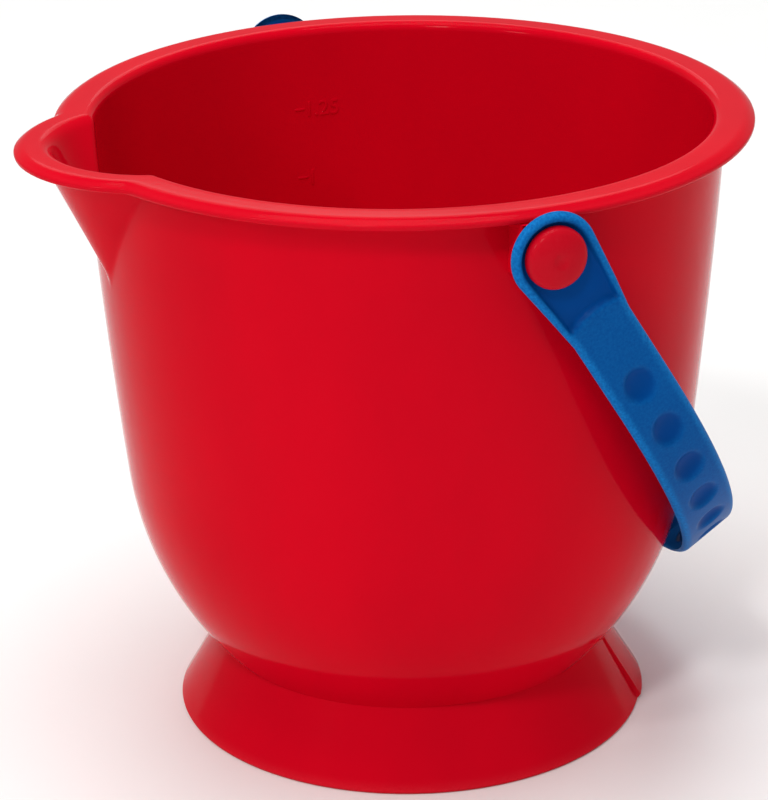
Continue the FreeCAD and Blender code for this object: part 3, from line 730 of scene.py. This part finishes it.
outer_run = (crown_radius + HALF_THICK) * (meet + math.pi / 2)
dimple_runs = []
for step in range(DIMPLES):
    outside = (step + 0.5) * DIMPLE_PITCH
    if outside < outer_run:
        dimple_runs.append(outside * crown_radius / (crown_radius + HALF_THICK))
    else:
        dimple_runs.append(crown_run + (outside - outer_run) * SHOULDER_ARC
                           / (SHOULDER_ARC + HALF_THICK))


def dimple_depth(across, run):
    """Depth of the nearest finger dimple, with a softened brim."""
    near = min(dimple_runs, key=lambda place: abs(abs(run) - place))
    share = (across / DIMPLE_WIDE) ** 2 + ((abs(run) - near) / DIMPLE_LONG) ** 2
    dip = DIMPLE_ROUND * math.sqrt(max(1.0 - share, 0.0)) - (DIMPLE_ROUND - DIMPLE_DEEP)
    return soft_max(dip, 0.0, 0.16) - 0.003


def floor_depth(across, run):
    """Depth of the ear's sunk floor, ending at the tongue-shaped step."""
    up = abs(run) - PIVOT_RUN
    if up < tongue_centre.y:
        return 0.0
    inside = depth_in_drop(across, up, FLOOR_RADIUS, floor_touch)
    beyond = (Vector((across, up)) - tongue_centre).length - TONGUE_ARC
    return FLOOR_DEPTH * smoothstep(-0.35, 0.75, inside) * smoothstep(-0.35, 0.75, beyond)


copied = bmesh.ops.duplicate(sheet, geom=sheet.verts[:] + sheet.edges[:] + sheet.faces[:])
inner_verts = {g for g in copied["geom"] if isinstance(g, bmesh.types.BMVert)}
inner_faces = [g for g in copied["geom"] if isinstance(g, bmesh.types.BMFace)]
bmesh.ops.reverse_faces(sheet, faces=inner_faces)
handle_painted_light = sheet.verts.layers.float.new("rub_and_painted_light")
for vertex in sheet.verts:
    across, run = vertex.co.x, vertex.co.y
    inset = edge_inset(across, run)
    hollow = 0.0
    if vertex in inner_verts:
        vertex.co.z = edge_fall(inset) - HALF_THICK
    else:
        hollow = floor_depth(across, run) + dimple_depth(across, run)
        vertex.co.z = HALF_THICK - edge_fall(inset) - hollow
    # painted light: the hollows keep the darker body colour as painted shade in the dimples, and
    # the raised face is paler and its edges palest as a painted highlight, so that shallow dimples
    # still read clearly in soft light
    raised = 1.0 - smoothstep(0.1, 0.9, hollow)
    edge = 1.0 - smoothstep(0.6, 2.2, inset)
    vertex[handle_painted_light] = raised * (0.34 + 0.66 * edge)


# %% Joining the two faces and bending the strap
def border_near(inner_face, centre_run, round_hole):
    """Border edges of one face, either those round an ear's hole or the long outline."""
    found = []
    for edge in sheet.edges:
        if not edge.is_boundary or (edge.verts[0] in inner_verts) != inner_face:
            continue
        gap = math.hypot(edge.verts[0].co.x, edge.verts[0].co.y - centre_run)
        if (gap < HOLE_RADIUS + 0.5) == round_hole:
            found.append(edge)
    return found


for centre_run in (PIVOT_RUN, -PIVOT_RUN):
    hole = border_near(False, centre_run, True) + border_near(True, centre_run, True)
    bmesh.ops.bridge_loops(sheet, edges=hole)
outline = [e for e in sheet.edges if e.is_boundary]
bmesh.ops.bridge_loops(sheet, edges=outline)
left_open = sum(1 for e in sheet.edges if e.is_boundary)
print("faces bridged, border edges left:", left_open)

HANG_ANGLE = math.radians(32.8)
for vertex in sheet.verts:
    across, run, height = vertex.co
    point, outward = middle_line(abs(run))
    side = 1.0 if run >= 0.0 else -1.0
    bent = point + outward * height
    vertex.co = (across, side * bent.x, bent.y)
bmesh.ops.rotate(sheet, cent=(0, 0, 0), matrix=Matrix.Rotation(-HANG_ANGLE, 3, "Y"),
                 verts=sheet.verts)
bmesh.ops.translate(sheet, vec=(0, 0, PIVOT_HEIGHT), verts=sheet.verts)
hoop = finished(sheet, "carry_handle_strap", handle_blue, 85.0)
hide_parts("carry_handle")
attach(hoop, "handle")

# %% [markdown]
# ## Floor, light and camera
# A plain pale floor and large soft lamps suit glossy plastic: every lamp shows as a reflection,
# so few and large ones give calm highlights. A bright, even surrounding makes the sides of the
# bowl fade to white where they are seen at a flat angle, which is what tells the eye that the
# surface is polished and round.

# %% A matt floor
floor_material = bpy.data.materials.new("matt_studio_floor")
floor_material.use_nodes = True
floor_material.node_tree.nodes.clear()
spot = node(floor_material, "ShaderNodeTexCoord").outputs["Object"]
mottle = node(floor_material, "ShaderNodeTexNoise",
              {"Vector": spot, "Scale": 1.0 / (60 * MM), "Detail": 4.0})
pale = node(floor_material, "ShaderNodeMix",
            {0: mottle.outputs[0], 6: linear("#f2f2f1"), 7: linear("#f6f6f5")},
            data_type="RGBA")
matt = node(floor_material, "ShaderNodeBsdfPrincipled",
            {"Base Color": pale.outputs[2], "Roughness": 0.8, "IOR": 1.4})
node(floor_material, "ShaderNodeOutputMaterial", {"Surface": matt.outputs[0]})

ground = bmesh.new()
bmesh.ops.create_circle(ground, cap_ends=True, radius=4000.0, segments=96)
floor = finished(ground, "studio_floor", floor_material)

# %% Soft lamps and a pale surrounding
world = bpy.data.worlds.new("pale_surrounding")
bpy.context.scene.world = world
world.use_nodes = True
SURROUNDING_STRENGTH = 0.46
background = world.node_tree.nodes["Background"]
background.inputs["Color"].default_value = linear("#ffffff")
background.inputs["Strength"].default_value = SURROUNDING_STRENGTH

LAMPS = {  # place in metres, width in metres, power in watts
    "top": ((-0.1, 0.0, 1.8), 1.3, 18.0),
    "key": ((-0.9, -1.1, 1.6), 0.25, 10.0),
    "left": ((-1.4, -0.5, 1.0), 0.25, 4.0),
    "back": ((0.5, 1.5, 1.3), 1.2, 5.0),
}
LAMPS_AIM = Vector((0.0, 0.0, 0.08))
for name, (place, size, power) in LAMPS.items():
    lamp = bpy.data.lights.new("soft_" + name, "AREA")
    lamp.shape, lamp.size, lamp.energy = "DISK", size, power
    stand = bpy.data.objects.new("soft_" + name, lamp)
    stand.location = place
    towards = LAMPS_AIM - Vector(place)
    stand.rotation_euler = towards.to_track_quat("-Z", "Y").to_euler()
    bpy.context.scene.collection.objects.link(stand)
bpy.context.scene.view_settings.view_transform = "Standard"

# %% The camera
CAMERA_AZIMUTH, CAMERA_AWAY, CAMERA_UP = math.radians(-21.8), 0.7009, 0.3612
CAMERA_TURN, CAMERA_DOWN, CAMERA_ROLL = 0.0077, 0.3884, -0.0153
lens = bpy.data.cameras.new("camera")
lens.lens, lens.sensor_width = 145.48, 36.0
camera = bpy.data.objects.new("camera", lens)
camera.location = (CAMERA_AWAY * math.sin(CAMERA_AZIMUTH),
                   -CAMERA_AWAY * math.cos(CAMERA_AZIMUTH), CAMERA_UP)
facing = (Matrix.Rotation(CAMERA_AZIMUTH + CAMERA_TURN, 3, "Z")
          @ Matrix.Rotation(math.pi / 2 - CAMERA_DOWN, 3, "X")
          @ Matrix.Rotation(CAMERA_ROLL, 3, "Z"))
camera.rotation_euler = facing.to_euler()
bpy.context.scene.collection.objects.link(camera)
bpy.context.scene.camera = camera
